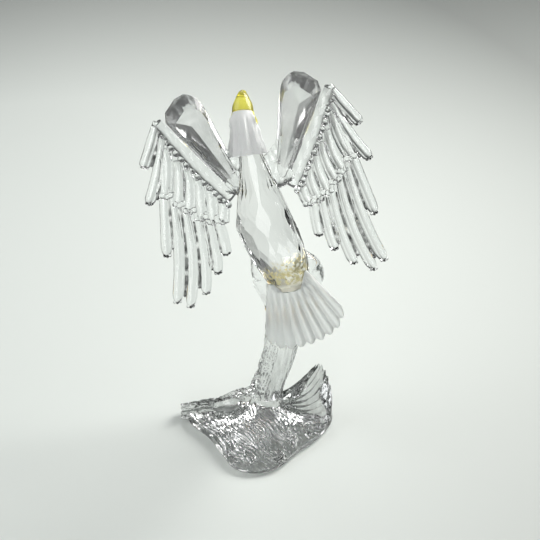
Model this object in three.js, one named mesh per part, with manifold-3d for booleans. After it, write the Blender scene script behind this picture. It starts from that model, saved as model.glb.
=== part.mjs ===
// Crystal eagle landing on a driftwood stump: clear cut glass, frosted head and tail, yellow beak, gilt feet.
// Millimetres, +Z up, origin at the centre of the flat underside. The eagle faces -Y and its left wing is at +X.
import * as THREE from 'three';
import { mergeVertices } from 'three/addons/utils/BufferGeometryUtils.js';
import Module from 'manifold-3d';

const wasm = await Module();
wasm.setup();

// Clearances
const GLUE_GAP = 0.3;

// Pose of the eagle on its stump
const SHOULDER = [-1.5, -9.5, 114.4];
const PITCH = 10;
const ROLL = 10.9;
const YAW = 4.5;

// Wing sheet, measured outward (u) and upward (v) from the wing's hinge line
const WING_HINGE = [5.9, 0.1];
const WING_SWEEP = 15;
const WING_TILT = 3;
const WING_BOW = -0.0012;
const ARM_OUTLINE = [[8.6, 36], [11.2, 40.2], [16.8, 42], [25, 34.8], [16.6, 19.6], [4.6, 0], [0.6, 3.6], [2.8, 14]];
const ARM_CROWNS = [2.6, 4.8, 4.6, 1.4, 1.4, 1.6, 1.6, 1.8];
const ARM_KEELS = [40, 36, 34, 46, 46, 44, 48, 46];
const ARM_STEP = 2;
const ARM_STEP_TURN = 14;
const ARM_TABLE = 3.4;
const ARM_RIM = 0.4;
const ARM_KEEL = -5.6;
const ROOT_PATH = [[7.6, 2.4], [4, 3.4], [-1, 3.6], [-6, 3.2]];
const ROOT_WIDTHS = [5, 10, 12.6, 12];
const ROOT_THICKNESS = 6;
const FILLET_PATH = [[5.4, 18], [2.8, 12.6], [-0.6, 9], [-5, 7.4]];
const FILLET_WIDTHS = [2, 5, 6.4, 6];
const FILLET_THICKNESS = 4.6;
const WEB_OUTLINE = [[26, 33], [31, 16], [30, 0], [22, -6], [13, -12], [9, -6], [8, 4]];
const WEB_THICKNESS = 1.5;
const BAND_PATH = [[27, 33.6], [22.2, 25], [15.8, 13.6], [10.2, 4.8], [6, -1.2]];
const BAND_WIDTHS = [3.6, 5.4, 5.4];
const BAND_THICKNESS = 5;
const SCALE_PATH = [[26.6, 31], [24.4, 22.5], [18.9, 12.6], [12.8, 2.3], [8, -5]];
const SCALE_COUNT = 11;
const SCALE_LENGTH = 3.2;
const SCALE_WIDTH = 2.6;
const SCALE_THICKNESS = 4.4;
const COVERT_WIDTH = 4.9;
const COVERT_THICKNESS = 3.6;
const COVERTS = [
  { root: [26, 23.5], tip: [31, 5.4], lead: 6 },
  { root: [23, 18], tip: [27, 1], lead: 4 },
  { root: [20, 13.5], tip: [23.6, -2.7], lead: 3 },
  { root: [17, 9], tip: [19.8, -6.5], lead: 2 },
  { root: [13.6, 4], tip: [15.8, -9.2], lead: 0 },
  { root: [10, -1], tip: [12.2, -10], lead: -2 },
];
const QUILL_WIDTH = 4.7;
const QUILL_THICKNESS = 3.2;
const QUILLS = [
  { root: [26.8, 34], tip: [36.2, 18.4], lead: 28 },
  { root: [26, 28.5], tip: [37.8, 4.6], lead: 20 },
  { root: [28, 20], tip: [36, -17], lead: 12 },
  { root: [28, 7], tip: [36.8, -36], lead: 4 },
  { root: [24.6, 2], tip: [32.2, -39.2], lead: 0 },
  { root: [20.6, -2], tip: [25, -35.7], lead: 0 },
  { root: [17, -4], tip: [18.4, -29.2], lead: -4 },
  { root: [13.6, -6], tip: [13.3, -22.8], lead: -6 },
];

// Body, cut flat all round an egg-shaped form that leans away from the shoulders
const BODY_LEVELS = [
  { z: 15, x: 1.2, wide: 3.8, deep: 4.6 },
  { z: 3, x: 1.4, wide: 6.8, deep: 7.4 },
  { z: -10, x: 1.8, wide: 10.4, deep: 9.6 },
  { z: -22, x: 0.2, wide: 10.8, deep: 9.8 },
  { z: -33, x: -2, wide: 9.6, deep: 8.8 },
  { z: -40.5, x: -3.2, wide: 7.6, deep: 7 },
];
const BODY_SIDES = 12;
const BODY_TOP = 14.5;
const BODY_BOTTOM = -42.4;

// Head, from the ruff at its foot to the cut where the beak starts
const HEAD_SPINE = [[2.4, 0.3, 13.9], [2.2, -0.3, 17], [1.8, -1.4, 20.6], [1.5, -3, 24.4], [0.9, -5.2, 28]];
const HEAD_GIRTHS = [7.1, 6.4, 5.6, 4.9, 4.35];
const RUFF_SCALLOPS = 8;
const RUFF_DROP = 0.8;

// Beak, one hooked form with its gape running back along both cheeks
const BEAK_LENGTH = 11;
const BEAK_HEIGHT = 8;
const BEAK_WIDTH = 8.2;
const BEAK_HOOK = 6;

// Tail fan, hung from the rump
const TAIL_ROOT = [-2.6, 4, -38.7];
const TAIL_LENGTH = 26.8;
const TAIL_HALF_ANGLE = 22.5;
const TAIL_ROOT_HALF_WIDTH = 8.3;
const TAIL_CORNER = 5.5;
const TAIL_RIBS = 9;
const TAIL_TURN = 10;
const TAIL_BACK = 14;
const TAIL_THICKNESS = 3.4;
const TAIL_GROOVE = 0.8;
const TAIL_SCALLOP = 1.6;

// Legs: clear thighs that run down beside the rump to the gilt feet
const HIPS = { left: [5.8, -2.5, -26], right: [-7, -2.5, -30] };
const KNEES = { left: [7, -4, -39.5], right: [-13, -4, -40.5] };
const LEG_GIRTHS = [3.4, 4.4, 4.2, 3.2, 2.5, 2.3];
const SHIN_BULGE = 0.8;

// Feet, standing on the cut top of the stump
const FOOT_SPREAD = 9.6;
const ANKLE_HEIGHT = 5.2;
const ANKLE_RADIUS = 2.5;
const TOE_TURNS = [-30, 0, 30, 180];
const TOE_LENGTH = 6.2;
const TOE_RADIUS = 1.15;
const TOE_ARCH = 2.6;

// Stump
const STUMP_TOP = 50;
const STUMP_PATH = [[-3.4, -15.6, 3], [-4.6, -16, 14], [-7, -16, 23], [-9.4, -16, 34], [-11, -15.6, STUMP_TOP + 2]];
const STUMP_GIRTHS = [8.4, 6.4, 6.2, 6.6, 7, 8];
const BARK_RIDGES = 5;
const BARK_RELIEF = 0.5;

// Driftwood foot: its rim as points with the height of the rim at each, counter-clockwise from the broken branch
const RIM = [
  { at: [28.6, -14], high: 5 },
  { at: [29.6, -8], high: 4.2 },
  { at: [20.5, 3.5], high: 4.4 },
  { at: [14.6, 14], high: 3.6 },
  { at: [9.4, 22.4], high: 2.8 },
  { at: [0.7, 25.4], high: 2.4 },
  { at: [-8.4, 22], high: 2.8 },
  { at: [-16.4, 12.6], high: 3.4 },
  { at: [-24.4, 4.6], high: 3.6 },
  { at: [-30, -4], high: 5 },
  { at: [-31.4, -10], high: 12 },
  { at: [-29.4, -15], high: 20 },
  { at: [-26.4, -17.2], high: 24.4 },
  { at: [-23.6, -18.4], high: 21.6 },
  { at: [-20, -20], high: 11.6 },
  { at: [-16.4, -21.6], high: 3.6 },
  { at: [-9, -23], high: 3.6 },
  { at: [0, -23.6], high: 8 },
  { at: [9, -22.4], high: 7.6 },
  { at: [19, -19.4], high: 4.4 },
];
const SKIRT_SPREAD = 1.015;
const SKIRT_HEIGHT = 1.4;
const UNDERCUT = 0.95;
const MOUND_HEIGHT = 9;
const HOLLOW_DEPTH = 2.4;
const WOOD_RIDGES = 12;
const WOOD_RELIEF = 0.6;
const WOOD_TWIST = -1.2;
const BRANCH_END = [33.2, -12.4, 3.4];
const BRANCH_ROOT = [19, -13, 4.4];
const BRANCH_RADIUS = 3.1;

// Materials
const clearGlass = new THREE.MeshStandardMaterial({ color: 0xe4ebe8, roughness: 0.02, metalness: 0 });
const frostedGlass = new THREE.MeshStandardMaterial({ color: 0xf1f3f3, roughness: 0.6, metalness: 0 });
const yellowGlass = new THREE.MeshStandardMaterial({ color: 0xe8d24a, roughness: 0.25, metalness: 0 });
const gilt = new THREE.MeshStandardMaterial({ color: 0xc9a13b, roughness: 0.25, metalness: 1 });

const radians = THREE.MathUtils.degToRad;
const mix = THREE.MathUtils.lerp;
const clamp = THREE.MathUtils.clamp;
const vector = (point) => new THREE.Vector3(...point);

const birdPose = new THREE.Matrix4().makeRotationFromEuler(
  new THREE.Euler(radians(PITCH), radians(ROLL), radians(YAW), 'ZYX'),
).setPosition(vector(SHOULDER));

// Solids: turning three.js geometry into a solid and back
function signedVolume(points, index) {
  const [a, b, c] = [new THREE.Vector3(), new THREE.Vector3(), new THREE.Vector3()];
  let volume = 0;
  for (let i = 0; i < index.length; i += 3) {
    a.fromArray(points, index[i] * 3);
    b.fromArray(points, index[i + 1] * 3);
    c.fromArray(points, index[i + 2] * 3);
    volume += a.dot(b.cross(c)) / 6;
  }
  return volume;
}

function toSolid(geometry) {
  const bare = geometry.clone();
  bare.deleteAttribute('normal');
  bare.deleteAttribute('uv');
  const merged = mergeVertices(bare, 1e-4);
  const vertProperties = new Float32Array(merged.attributes.position.array);
  const triVerts = new Uint32Array(merged.index.array);
  if (signedVolume(vertProperties, triVerts) < 0) {
    for (let i = 0; i < triVerts.length; i += 3) {
      [triVerts[i], triVerts[i + 1]] = [triVerts[i + 1], triVerts[i]];
    }
  }
  return new wasm.Manifold(new wasm.Mesh({ numProp: 3, vertProperties, triVerts }));
}

function toGeometry(solid) {
  const { vertProperties, triVerts } = solid.getMesh();
  const geometry = new THREE.BufferGeometry();
  geometry.setAttribute('position', new THREE.BufferAttribute(new Float32Array(vertProperties), 3));
  geometry.setIndex(new THREE.BufferAttribute(new Uint32Array(triVerts), 1));
  return geometry;
}

const join = (solids) => solids.reduce((whole, solid) => whole.add(solid));

// Everything beyond a plane, as a box for cutting flats
function beyond(point, normal) {
  const size = 400;
  const box = new THREE.BoxGeometry(size, size, size).translate(0, 0, size / 2);
  box.applyQuaternion(new THREE.Quaternion().setFromUnitVectors(new THREE.Vector3(0, 0, 1), normal));
  return toSolid(box.translate(point.x, point.y, point.z));
}

// A tube whose corners are placed by a rule: along and across run from 0 to 1, turn goes once round
function skin(sides, steps, pointAt) {
  const form = new THREE.CylinderGeometry(1, 1, 1, sides, steps);
  const corners = form.attributes.position;
  for (let i = 0; i < corners.count; i += 1) {
    const across = Math.hypot(corners.getX(i), corners.getZ(i));
    const turn = Math.atan2(corners.getX(i), corners.getZ(i));
    corners.setXYZ(i, ...pointAt(0.5 - corners.getY(i), turn, across));
  }
  return form;
}

// A round limb along a smooth path, with its radius read from evenly spaced girths
function girthAt(girths, along) {
  const place = clamp(along, 0, 1) * (girths.length - 1);
  const first = Math.min(Math.floor(place), girths.length - 2);
  const blend = THREE.MathUtils.smoothstep(place - first, 0, 1);
  return mix(girths[first], girths[first + 1], mix(place - first, blend, 0.5));
}

function limb(path, girths, sides, steps, relief = () => 1) {
  const curve = new THREE.CatmullRomCurve3(path, false, 'centripetal');
  const up = new THREE.Vector3(1, 0, 0);
  return skin(sides, steps, (along, turn, across) => {
    const centre = curve.getPoint(along);
    const tangent = curve.getTangent(along);
    const side = up.clone().addScaledVector(tangent, -up.dot(tangent)).normalize();
    const front = tangent.clone().cross(side);
    const radius = girthAt(girths, along) * relief(along, turn) * across;
    centre.addScaledVector(side, radius * Math.cos(turn));
    centre.addScaledVector(front, radius * Math.sin(turn));
    return centre.toArray();
  });
}

// Wing: every part of it lies in a gently bowed sheet
function feather({ root, tip, lead }, width, thickness, lift, steps) {
  const start = new THREE.Vector2(...root);
  const end = new THREE.Vector2(...tip);
  const reach = start.distanceTo(end) * 0.57;
  const bend = new THREE.Vector2(Math.sin(radians(lead)), -Math.cos(radians(lead))).multiplyScalar(reach);
  const quill = new THREE.QuadraticBezierCurve(start, start.clone().add(bend), end);
  return skin(6, steps, (row, turn, across) => {
    const along = 1 - (1 - row) ** 2;
    const centre = quill.getPoint(along);
    const tangent = quill.getTangent(along);
    const swell = mix(0.7, 1, clamp(along / 0.35, 0, 1));
    const rounding = Math.sqrt(1 - 0.97 * clamp((along - 0.88) / 0.12, 0, 1) ** 2);
    const half = 0.5 * width * swell * rounding * across;
    const u = centre.x + half * Math.cos(turn) * tangent.y;
    const v = centre.y - half * Math.cos(turn) * tangent.x;
    const depth = 0.5 * thickness * mix(1, 0.75, along) * Math.sqrt(rounding) * across;
    return [u, lift + depth * Math.sin(turn), v];
  });
}

function bar(path, widths, thickness, steps) {
  const curve = new THREE.SplineCurve(path.map((point) => new THREE.Vector2(...point)));
  return skin(6, steps, (along, turn, across) => {
    const centre = curve.getPoint(along);
    const tangent = curve.getTangent(along);
    const half = 0.5 * girthAt(widths, along) * across;
    const depth = 0.5 * thickness * across;
    const u = centre.x + half * Math.cos(turn) * tangent.y;
    const v = centre.y - half * Math.cos(turn) * tangent.x;
    return [u, depth * Math.sin(turn), v];
  });
}

function plate(outline, thickness) {
  const shape = new THREE.Shape(outline.map((point) => new THREE.Vector2(...point)));
  const block = new THREE.ExtrudeGeometry(shape, { depth: thickness, bevelEnabled: false });
  return toSolid(block.translate(0, 0, -thickness / 2).rotateX(Math.PI / 2));
}

// The arm is a long cut stone: a flat table, a narrow crown round it and a keel of steep flats behind
function arm() {
  const block = plate(ARM_OUTLINE, ARM_TABLE - ARM_KEEL).translate(0, 0.5 * (ARM_TABLE + ARM_KEEL), 0);
  let solid = block;
  ARM_OUTLINE.forEach(([u, v], i) => {
    const [nextU, nextV] = ARM_OUTLINE[(i + 1) % ARM_OUTLINE.length];
    const outward = new THREE.Vector3(v - nextV, 0, nextU - u).normalize();
    const crown = outward.clone().multiplyScalar(ARM_TABLE - ARM_RIM).setY(ARM_CROWNS[i]).normalize();
    solid = solid.subtract(beyond(new THREE.Vector3(u, ARM_RIM, v), crown));
    const steep = radians(ARM_KEELS[i]);
    const flat = radians(ARM_KEELS[i] - ARM_STEP_TURN);
    const rim = new THREE.Vector3(u, -0.5 * ARM_RIM, v);
    const keel = outward.clone().multiplyScalar(Math.sin(steep)).setY(-Math.cos(steep));
    solid = solid.subtract(beyond(rim, keel));
    const step = rim.clone().addScaledVector(outward, -ARM_STEP).setY(rim.y - ARM_STEP * Math.tan(steep));
    const lower = outward.clone().multiplyScalar(Math.sin(flat)).setY(-Math.cos(flat));
    solid = solid.subtract(beyond(step, lower));
  });
  return solid;
}

function wingScales() {
  const line = new THREE.SplineCurve(SCALE_PATH.map((point) => new THREE.Vector2(...point)));
  const beads = [];
  for (let i = 0; i < SCALE_COUNT; i += 1) {
    const at = line.getPointAt((i + 0.5) / SCALE_COUNT);
    const bead = new THREE.SphereGeometry(0.5, 5, 3).scale(SCALE_WIDTH, SCALE_THICKNESS, SCALE_LENGTH);
    beads.push(toSolid(bead.rotateY(radians(-25)).translate(at.x, 0, at.y)));
  }
  return beads;
}

function wingSheet() {
  const parts = [
    arm(),
    plate(WEB_OUTLINE, WEB_THICKNESS),
    toSolid(bar(ROOT_PATH, ROOT_WIDTHS, ROOT_THICKNESS, 4)),
    toSolid(bar(FILLET_PATH, FILLET_WIDTHS, FILLET_THICKNESS, 4)),
    toSolid(bar(BAND_PATH, BAND_WIDTHS, BAND_THICKNESS, 6)),
    ...wingScales(),
  ];
  COVERTS.forEach((row, i) => {
    const lift = i % 2 ? 0.25 : -0.25;
    parts.push(toSolid(feather(row, COVERT_WIDTH, COVERT_THICKNESS, lift, 3)));
  });
  QUILLS.forEach((row, i) => {
    const lift = i % 2 ? 0.2 : -0.2;
    parts.push(toSolid(feather(row, QUILL_WIDTH, QUILL_THICKNESS, lift, 5)));
  });
  return join(parts);
}

function wing(sheet, side) {
  const geometry = toGeometry(sheet);
  const corners = geometry.attributes.position;
  for (let i = 0; i < corners.count; i += 1) {
    corners.setY(i, corners.getY(i) + WING_BOW * corners.getX(i) ** 2);
  }
  const turn = new THREE.Matrix4().makeRotationFromEuler(
    new THREE.Euler(radians(WING_TILT), 0, radians(WING_SWEEP), 'ZYX'),
  ).setPosition(WING_HINGE[0], WING_HINGE[1], 0);
  geometry.applyMatrix4(turn).scale(side, 1, 1);
  return toSolid(geometry.applyMatrix4(birdPose));
}

// Body: the box that holds it is cut by flats that touch the egg-shaped form in staggered rows
function cutBody(clearance) {
  const middle = 0.5 * (BODY_TOP + BODY_BOTTOM);
  const box = new THREE.BoxGeometry(40, 40, BODY_TOP - BODY_BOTTOM + 2 * clearance).translate(0, 0, middle);
  let solid = toSolid(box);
  BODY_LEVELS.forEach((level, row) => {
    const above = BODY_LEVELS[Math.max(row - 1, 0)];
    const below = BODY_LEVELS[Math.min(row + 1, BODY_LEVELS.length - 1)];
    for (let side = 0; side < BODY_SIDES; side += 1) {
      const turn = (2 * Math.PI * (side + 0.5 * (row % 2))) / BODY_SIDES;
      const at = (ring) => new THREE.Vector3(ring.x + ring.wide * Math.cos(turn), ring.deep * Math.sin(turn), ring.z);
      const round = new THREE.Vector3(-level.wide * Math.sin(turn), level.deep * Math.cos(turn), 0);
      const normal = round.cross(at(above).sub(at(below))).normalize();
      const touch = at(level).addScaledVector(normal, clearance);
      solid = solid.subtract(beyond(touch, normal));
    }
  });
  return toSolid(toGeometry(solid).applyMatrix4(birdPose));
}

// Head
function headForm(clearance) {
  const spine = HEAD_SPINE.map(vector);
  const girths = HEAD_GIRTHS.map((girth) => girth + clearance);
  const relief = (along, turn) => 1 + 0.03 * Math.cos(RUFF_SCALLOPS * turn) * (1 - along);
  const form = limb(spine, girths, 2 * RUFF_SCALLOPS, 8, relief);
  const corners = form.attributes.position;
  const rim = spine[0];
  for (let i = 0; i < corners.count; i += 1) {
    const turn = Math.atan2(corners.getY(i) - rim.y, corners.getX(i) - rim.x);
    const outer = Math.hypot(corners.getY(i) - rim.y, corners.getX(i) - rim.x) > 0.5 * HEAD_GIRTHS[0];
    if (corners.getZ(i) < rim.z + 1.5 && outer) {
      corners.setZ(i, corners.getZ(i) - RUFF_DROP * (0.5 + 0.5 * Math.cos(RUFF_SCALLOPS * turn)) - clearance);
    }
  }
  return toSolid(form);
}

function beakForm() {
  const start = vector(HEAD_SPINE[HEAD_SPINE.length - 1]);
  const before = vector(HEAD_SPINE[HEAD_SPINE.length - 2]);
  const forward = start.clone().sub(before).normalize();
  const curve = new THREE.QuadraticBezierCurve3(
    start.clone().addScaledVector(forward, GLUE_GAP),
    start.clone().addScaledVector(forward, BEAK_LENGTH),
    start.clone().addScaledVector(forward, BEAK_LENGTH).add(new THREE.Vector3(0, -0.5, -BEAK_HOOK)),
  );
  const side = new THREE.Vector3(1, 0, 0).addScaledVector(forward, -forward.x).normalize();
  return toSolid(skin(8, 7, (along, turn, across) => {
    const centre = curve.getPoint(along);
    const up = side.clone().cross(curve.getTangent(along)).normalize();
    const slim = (1 - 0.93 * along ** 1.6) * across;
    const narrow = mix(1, 0.54, THREE.MathUtils.smoothstep(along, 0, 0.5)) * (1 - 0.86 * along ** 4) * across;
    centre.addScaledVector(side, 0.5 * BEAK_WIDTH * narrow * Math.cos(turn));
    centre.addScaledVector(up, 0.5 * BEAK_HEIGHT * slim * Math.sin(turn));
    return centre.toArray();
  }));
}

// Tail: a plate of ribs that spread from the rump, thinner in the grooves and scalloped at the end
function tailFan() {
  const columns = 4 * TAIL_RIBS;
  const fan = new THREE.BoxGeometry(1, 1, 1, columns, 1, 2);
  const corners = fan.attributes.position;
  const hub = TAIL_ROOT_HALF_WIDTH / Math.sin(radians(TAIL_HALF_ANGLE));
  for (let i = 0; i < corners.count; i += 1) {
    const spread = corners.getX(i) * 2;
    const out = 0.5 - corners.getZ(i);
    const face = corners.getY(i) * 2;
    const rib = 0.5 + 0.5 * Math.cos(Math.PI * TAIL_RIBS * (spread + 1 - 1 / TAIL_RIBS));
    const arc = TAIL_LENGTH - TAIL_SCALLOP * (1 - Math.sqrt(rib)) - TAIL_CORNER * spread ** 4;
    const reach = hub + arc * out;
    const turn = radians(TAIL_HALF_ANGLE) * spread;
    const thick = mix(TAIL_THICKNESS, 0.55 * TAIL_THICKNESS, out) - TAIL_GROOVE * (1 - rib) * Math.min(1, out * 3);
    corners.setXYZ(i, reach * Math.sin(turn), 0.5 * thick * face, hub - reach * Math.cos(turn));
  }
  fan.rotateX(radians(TAIL_BACK)).rotateY(radians(TAIL_TURN)).translate(...TAIL_ROOT);
  return toSolid(fan.applyMatrix4(birdPose));
}

// Legs and feet
function footPlace(side) {
  const top = STUMP_PATH[STUMP_PATH.length - 1];
  return new THREE.Vector3(top[0] + 0.5 * side * FOOT_SPREAD, top[1], STUMP_TOP + GLUE_GAP);
}

function leg(name, side) {
  const ankle = footPlace(side).add(new THREE.Vector3(0, 0, ANKLE_HEIGHT + GLUE_GAP));
  const hip = vector(HIPS[name]).applyMatrix4(birdPose);
  const knee = vector(KNEES[name]).applyMatrix4(birdPose);
  const shin = knee.clone().lerp(ankle, 0.6).add(new THREE.Vector3(side * SHIN_BULGE, 0, 0));
  const below = ankle.clone().add(new THREE.Vector3(0, 0, -3));
  const whole = toSolid(limb([hip, knee, shin, below], LEG_GIRTHS, 8, 6));
  return whole.subtract(beyond(ankle, new THREE.Vector3(0, 0, -1)));
}

function foot(side) {
  const place = footPlace(side);
  const stem = new THREE.CylinderGeometry(ANKLE_RADIUS * 0.9, ANKLE_RADIUS, ANKLE_HEIGHT, 8);
  const parts = [toSolid(stem.rotateX(Math.PI / 2).translate(0, 0, ANKLE_HEIGHT / 2))];
  for (const turn of TOE_TURNS) {
    const length = turn === 180 ? TOE_LENGTH * 0.75 : TOE_LENGTH;
    const path = [
      new THREE.Vector3(0, 0, TOE_ARCH),
      new THREE.Vector3(0, -length * 0.5, TOE_ARCH * 0.8),
      new THREE.Vector3(0, -length * 0.85, TOE_RADIUS * 0.9),
      new THREE.Vector3(0, -length, 0.35),
    ];
    const toe = limb(path, [1.3, 1.15, 1, 0.5, 0.25].map((share) => share * TOE_RADIUS), 5, 3);
    parts.push(toSolid(toe.rotateZ(radians(turn))));
  }
  const whole = join(parts).subtract(beyond(new THREE.Vector3(), new THREE.Vector3(0, 0, -1)));
  return toSolid(toGeometry(whole).translate(place.x, place.y, place.z));
}

// Driftwood: a mound inside its rim, with the stump and the broken branch grown out of it
function rimCurve() {
  return new THREE.CatmullRomCurve3(
    RIM.map(({ at, high }) => new THREE.Vector3(at[0], at[1], high)),
    true,
    'centripetal',
  );
}

function mound() {
  const rings = 9;
  const rim = rimCurve();
  const hub = vector(STUMP_PATH[0]).setZ(0);
  return toSolid(skin(42, rings, (row, turn, across) => {
    const edge = rim.getPoint((turn / (2 * Math.PI) + 1) % 1);
    const flat = new THREE.Vector3(edge.x, edge.y, 0);
    const ring = Math.round(row * rings);
    if (ring === rings) {
      return flat.multiplyScalar(UNDERCUT * across).toArray();
    }
    if (ring === rings - 1) {
      return flat.multiplyScalar(SKIRT_SPREAD).setZ(SKIRT_HEIGHT).toArray();
    }
    const out = ((ring + 1) / (rings - 1)) * across;
    const grain = Math.cos(WOOD_RIDGES * turn + 2 * Math.PI * WOOD_TWIST * out);
    const relief = WOOD_RELIEF * grain * Math.sin(Math.PI * Math.min(1, out * 1.1));
    const sag = HOLLOW_DEPTH * Math.sin(Math.PI * out) * Math.min(1, edge.z / MOUND_HEIGHT + 0.2);
    return hub.clone().lerp(flat, out).setZ(mix(MOUND_HEIGHT, edge.z, out ** 1.4) - sag + relief).toArray();
  }));
}

function branch() {
  const root = vector(BRANCH_ROOT);
  const tip = vector(BRANCH_END);
  const up = new THREE.Vector3(0, 0, 1);
  const side = up.clone().cross(tip.clone().sub(root)).normalize();
  return toSolid(skin(9, 4, (along, turn, across) => {
    const centre = root.clone().lerp(tip, along);
    const gnarl = 1 + 0.07 * Math.cos(3 * turn + 2 * along);
    const radius = BRANCH_RADIUS * mix(1.2, 0.95, along) * gnarl * across;
    centre.addScaledVector(side, radius * Math.cos(turn));
    return centre.addScaledVector(up, radius * Math.sin(turn)).toArray();
  }));
}

function driftwood() {
  const bark = (along, turn) => {
    const ridged = 1 + (BARK_RELIEF / STUMP_GIRTHS[2]) * Math.cos(BARK_RIDGES * turn + 4 * along);
    const flare = 0.35 * Math.max(0, Math.cos(turn)) * (1 - along) ** 4;
    return ridged + flare;
  };
  const stump = toSolid(limb(STUMP_PATH.map(vector), STUMP_GIRTHS, 12, 9, bark));
  const whole = join([mound(), stump, branch()]);
  const floor = beyond(new THREE.Vector3(), new THREE.Vector3(0, 0, -1));
  const top = beyond(new THREE.Vector3(0, 0, STUMP_TOP), new THREE.Vector3(0, 0, 1));
  return whole.subtract(floor).subtract(top);
}

// Assembly
const eagle = new THREE.Group();

function addPiece(name, solid, material) {
  const mesh = new THREE.Mesh(toGeometry(solid), material);
  mesh.name = name;
  eagle.add(mesh);
}

const body = cutBody(0);
const aroundBody = cutBody(GLUE_GAP);
const sheet = wingSheet();
const inPose = (solid) => toSolid(toGeometry(solid).applyMatrix4(birdPose));
const head = inPose(headForm(0)).subtract(aroundBody);
const aroundHead = inPose(headForm(GLUE_GAP));
const glued = (solid) => solid.subtract(aroundBody).subtract(aroundHead);

addPiece('base', driftwood(), clearGlass);
addPiece('body', body, clearGlass);
addPiece('wing_left', glued(wing(sheet, 1)), clearGlass);
addPiece('wing_right', glued(wing(sheet, -1)), clearGlass);
addPiece('head', head, frostedGlass);
addPiece('beak', inPose(beakForm()), yellowGlass);
addPiece('tail', tailFan().subtract(aroundBody), frostedGlass);
addPiece('leg_left', leg('left', 1).subtract(aroundBody), clearGlass);
addPiece('leg_right', leg('right', -1).subtract(aroundBody), clearGlass);
addPiece('foot_left', foot(1), gilt);
addPiece('foot_right', foot(-1), gilt);

export default eagle;
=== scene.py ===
import math

import bpy
from bpy.props import FloatProperty, FloatVectorProperty, IntProperty, PointerProperty
from mathutils import Matrix, Vector, noise


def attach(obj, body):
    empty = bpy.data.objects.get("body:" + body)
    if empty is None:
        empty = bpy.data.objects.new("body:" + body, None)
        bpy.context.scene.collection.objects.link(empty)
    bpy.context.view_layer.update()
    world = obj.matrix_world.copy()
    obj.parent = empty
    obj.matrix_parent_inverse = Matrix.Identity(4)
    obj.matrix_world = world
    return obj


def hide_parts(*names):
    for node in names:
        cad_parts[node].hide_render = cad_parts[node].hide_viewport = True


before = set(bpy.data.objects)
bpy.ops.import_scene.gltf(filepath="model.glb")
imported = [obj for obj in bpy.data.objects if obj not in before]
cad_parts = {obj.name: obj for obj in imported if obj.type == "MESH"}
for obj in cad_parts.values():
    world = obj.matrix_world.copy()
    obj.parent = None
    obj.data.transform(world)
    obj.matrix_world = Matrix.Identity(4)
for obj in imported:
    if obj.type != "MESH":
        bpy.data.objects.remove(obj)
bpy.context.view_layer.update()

bl_info = {
    "name": "Crystal Eagle on Driftwood",
    "version": (1, 0, 0),
    "blender": (4, 5, 0),
    "location": "3D View > Sidebar > Crystal Eagle",
    "description": "Cut glass eagle with a frosted head and tail, landing on a clear driftwood stump",
    "category": "Add Mesh",
}

MM = 0.001

# Pose of the eagle on its stump, in millimetres and degrees
SHOULDER = (-1.5, -9.5, 114.4)
PITCH = 10
ROLL = 10.9
YAW = 4.5

# Wing sheet: outward and upward from the hinge line
HINGE = (5.9, 0.1)
WING_SWEEP = 15
WING_TILT = 3
WING_BOW = -0.0012
WING_FIT = 0.985
ARM_OUTLINE = [(8.6, 36), (11.2, 40.2), (16.8, 42), (25, 34.8), (16.6, 19.6), (4.6, 0), (0.6, 3.6), (2.8, 14)]
ARM_CROWNS = [2.6, 4.8, 4.6, 1.4, 1.4, 1.6, 1.6, 1.8]
ARM_KEELS = [40, 36, 34, 46, 46, 44, 48, 46]
ARM_STEP = 2
ARM_STEP_TURN = 14
ARM_TABLE = 3.4
ARM_RIM = 0.4
ARM_KEEL = -5.6
ARM_CORNER = 2.4
ROOT_PATH = [(7.6, 2.4), (4, 3.4), (-1, 3.6), (-6, 3.2)]
ROOT_WIDTHS = [5, 10, 12.6, 12]
ROOT_THICKNESS = 6
FILLET_PATH = [(5.4, 18), (2.8, 12.6), (-0.6, 9), (-5, 7.4)]
FILLET_WIDTHS = [2, 5, 6.4, 6]
FILLET_THICKNESS = 4.6
WEB_OUTLINE = [(26, 33), (31, 16), (30, 0), (22, -6), (13, -12), (9, -6), (8, 4)]
WEB_THICKNESS = 1.5
BAND_PATH = [(27, 33.6), (22.2, 25), (15.8, 13.6), (10.2, 4.8), (6, -1.2)]
BAND_WIDTHS = [3.6, 5.4, 5.4]
BAND_THICKNESS = 5
SCALE_PATH = [(26.6, 31), (24.4, 22.5), (18.9, 12.6), (12.8, 2.3), (8, -5)]
SCALE_THICKNESS = 4.4
COVERTS = [
    ((26, 23.5), (31, 5.4), 6),
    ((23, 18), (27, 1), 4),
    ((20, 13.5), (23.6, -2.7), 3),
    ((17, 9), (19.8, -6.5), 2),
    ((13.6, 4), (15.8, -9.2), 0),
    ((10, -1), (12.2, -10), -2),
]
QUILLS = [
    ((26.8, 34), (36.2, 18.4), 28),
    ((26, 28.5), (37.8, 4.6), 20),
    ((28, 20), (36, -17), 12),
    ((28, 7), (36.8, -36), 4),
    ((24.6, 2), (32.2, -39.2), 0),
    ((20.6, -2), (25, -35.7), 0),
    ((17, -4), (18.4, -29.2), -4),
    ((13.6, -6), (13.3, -22.8), -6),
]
VALLEY_WIDTH = 1.8
VALLEY_THICKNESS = 2.6

# Body: height, sideways place, half width and half depth of each row of flats
BODY_LEVELS = [
    (15, 1.2, 3.8, 4.6),
    (3, 1.4, 6.8, 7.4),
    (-10, 1.8, 10.4, 9.6),
    (-22, 0.2, 10.8, 9.8),
    (-33, -2, 9.6, 8.8),
    (-40.5, -3.2, 7.6, 7),
]
BODY_SIDES = 12
BODY_TOP = 14.5
BODY_BOTTOM = -42.4

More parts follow.
